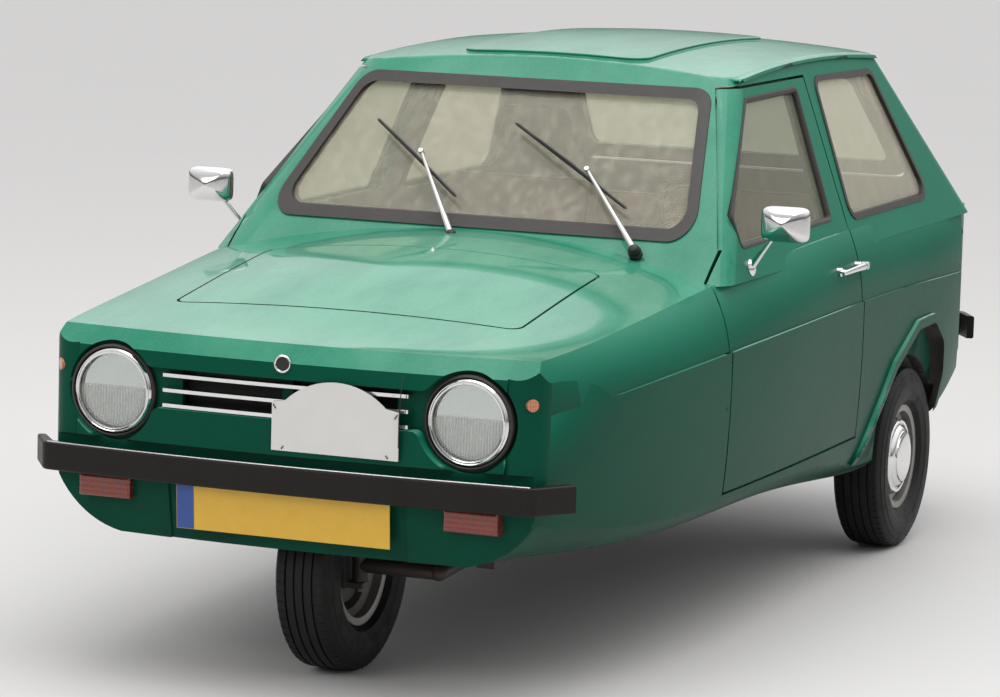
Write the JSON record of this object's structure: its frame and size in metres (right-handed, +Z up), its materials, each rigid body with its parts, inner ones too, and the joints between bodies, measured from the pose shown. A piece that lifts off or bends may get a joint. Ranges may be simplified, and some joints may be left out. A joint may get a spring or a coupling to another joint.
{
  "type": "three-wheeled car",
  "caption": "Small fibreglass family car with one steered wheel in front and two driven wheels behind; doors, bonnet and rear lid open.",
  "frame": {"origin": "ground level under the middle of the overall box of the car", "axes": "+Z up, the front of the car faces -Y, +X is the car's own left"},
  "size_m": [1.636, 3.3268, 1.372],
  "materials": {
    "black_plastic": "grained",
    "black_steel": "satin black",
    "body_paint": "jade green gel coat",
    "bowl": "silvered",
    "bumper_black": "matt",
    "cabin_levers": "satin",
    "chrome": "polished",
    "engine": "cast",
    "floor": "matt",
    "lamp_amber": "amber",
    "lamp_glass": "fluted, clear",
    "lamp_red": "dark red",
    "plaque": "blank white",
    "plate": "blank yellow",
    "seat_fabric": "red-brown",
    "steel": "satin",
    "tyre": "matt",
    "wheel_silver": "silver",
    "window_glass": "clear",
    "window_rubber": "weathered grey-brown"
  },
  "bodies": {
    "car": {"cabin_levers": "cabin_levers", "cabin_mirror": "cabin_levers", "chassis_frame": "black_steel", "dashboard": "black_plastic", "drive_line": "engine", "engine_block": "engine", "exhaust": "black_steel", "fixed_glass": "window_glass", "floor_pan": "floor", "front_arm": "black_steel", "front_bumper": "bumper_black", "front_spring": "black_steel", "fuel_tank": "floor", "grille_bars": "chrome", "headlamp_bowls": "bowl", "headlamp_lenses": "lamp_glass", "headlamp_rims": "chrome", "hinge_pins": "steel", "indicators": "lamp_red", "leaf_springs": "black_steel", "lower_moulding": "body_paint", "number_plate": "plate", "pedals": "black_plastic", "radiator": "engine", "rally_plaque": "plaque", "rear_axle": "black_steel", "rear_bumper": "bumper_black", "seat_backs": "seat_fabric", "seat_cushions": "seat_fabric", "seat_frames": "floor", "side_markers": "lamp_amber", "steering_box": "black_steel", "tail_lamps": "lamp_red", "upper_moulding": "body_paint", "window_rubbers": "window_rubber", "wipers": "chrome"},
    "knuckle": {"knuckle": "steel"},
    "front_wheel": {"wheel_front": "wheel_silver", "tyre_front": "tyre"},
    "left_wheel": {"tyre_left": "tyre", "wheel_left": "wheel_silver", "hub_cap_left": "chrome"},
    "right_wheel": {"tyre_right": "tyre", "wheel_right": "wheel_silver", "hub_cap_right": "chrome"},
    "left_door": {"door_left": "body_paint", "door_glass_left": "window_glass", "handle_left": "chrome", "mirror_left": "chrome"},
    "right_door": {"door_right": "body_paint", "door_glass_right": "window_glass", "handle_right": "chrome", "mirror_right": "chrome"},
    "bonnet_lid": {"bonnet": "body_paint", "bonnet_arms": "steel"},
    "rear_lid": {"tailgate": "body_paint", "tailgate_glass": "window_glass"},
    "steering_arm": {"drop_arm": "steel"},
    "drag_link": {"steering_link": "steel"},
    "steering": {"steering_wheel": "black_plastic"}
  },
  "joints": [
    {"name": "steer", "type": "hinge", "parent": "car", "child": "knuckle", "pos_m": [0.042, -1.292, 0.245], "axis": [0, 0, 1], "range_deg": [-30, 30]},
    {"name": "front_spin", "type": "hinge", "parent": "knuckle", "child": "front_wheel", "pos_m": [0, -1.292, 0.245], "axis": [1, 0, 0], "continuous": true},
    {"name": "left_spin", "type": "hinge", "parent": "car", "child": "left_wheel", "pos_m": [0.617, 0.867, 0.245], "axis": [1, 0, 0], "continuous": true},
    {"name": "right_spin", "type": "hinge", "parent": "car", "child": "right_wheel", "pos_m": [-0.617, 0.867, 0.245], "axis": [1, 0, 0], "continuous": true},
    {"name": "left_door_swing", "type": "hinge", "parent": "car", "child": "left_door", "pos_m": [0.684, -0.639, 0.58], "axis": [0, 0, -1], "range_deg": [0, 55]},
    {"name": "right_door_swing", "type": "hinge", "parent": "car", "child": "right_door", "pos_m": [-0.684, -0.639, 0.58], "axis": [0, 0, 1], "range_deg": [0, 55]},
    {"name": "bonnet_lift", "type": "hinge", "parent": "car", "child": "bonnet_lid", "pos_m": [0, -1.465, 0.777], "axis": [1, 0, 0], "range_deg": [0, 50]},
    {"name": "rear_lid_lift", "type": "hinge", "parent": "car", "child": "rear_lid", "pos_m": [0, 1.10374, 1.26749], "axis": [1, 0, 0], "range_deg": [0, 75]},
    {"name": "steering_arm_turn", "type": "hinge", "parent": "car", "child": "steering_arm", "pos_m": [0.215, -0.9, 0.361], "axis": [0, 0, 1], "range_deg": [-30, 30]},
    {"name": "drag_link_turn", "type": "hinge", "parent": "knuckle", "child": "drag_link", "pos_m": [0.125, -1.252, 0.34], "axis": [0, 0, 1], "range_deg": [-30, 30]},
    {"name": "steering_wheel_turn", "type": "hinge", "parent": "car", "child": "steering", "pos_m": [0.33, -0.19, 0.8], "axis": [0.1453, 0.8593, 0.4903], "range_deg": [-420, 420]}
  ],
  "couplings": [
    {"joint": "steering_arm_turn", "follows": "steer", "ratio": 1},
    {"joint": "drag_link_turn", "follows": "steer", "ratio": -1},
    {"joint": "steering_wheel_turn", "follows": "steer", "ratio": 14}
  ]
}
